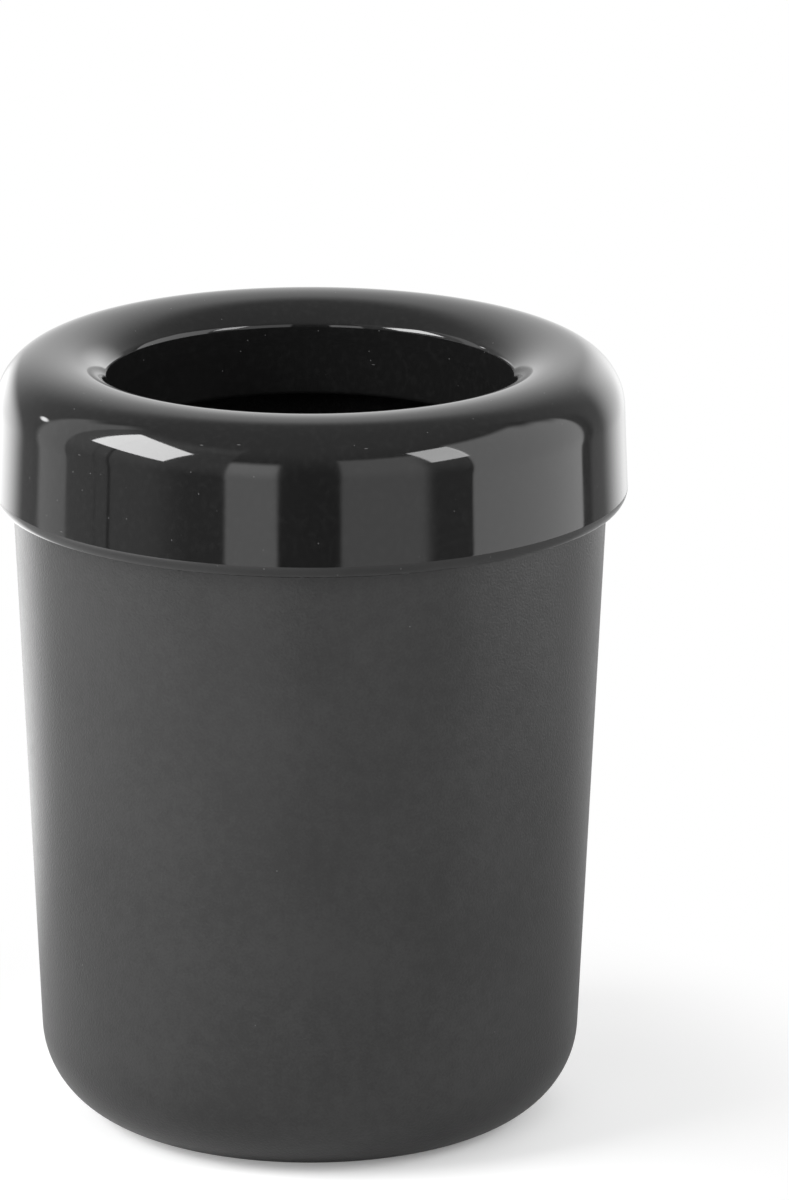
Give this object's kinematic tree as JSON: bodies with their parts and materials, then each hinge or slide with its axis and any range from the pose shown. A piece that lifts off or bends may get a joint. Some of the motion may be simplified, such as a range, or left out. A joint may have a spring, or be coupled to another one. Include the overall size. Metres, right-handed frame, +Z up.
{
  "type": "tabletop bin",
  "caption": "Round tabletop bin: a tapered container with a rounded base, and a lift-off lid ring with a deep skirt, a rolled top and an open mouth.",
  "frame": {"origin": "centre of the base, on the plane that the bin stands on", "axes": "+Z up along the axis that the bin is turned about; X and Y are alike"},
  "size_m": [0.1298, 0.1298, 0.1605],
  "materials": {
    "container_plastic": "fine satin, moulded black",
    "lid_plastic": "polished, moulded black"
  },
  "bodies": {
    "container": {"container": "container_plastic"},
    "lid": {"lid_ring": "lid_plastic"}
  },
  "joints": [
    {"name": "lid_lift", "type": "slide", "parent": "container", "child": "lid", "axis": [0, 0, 1], "range_m": [0, 0.06]}
  ]
}
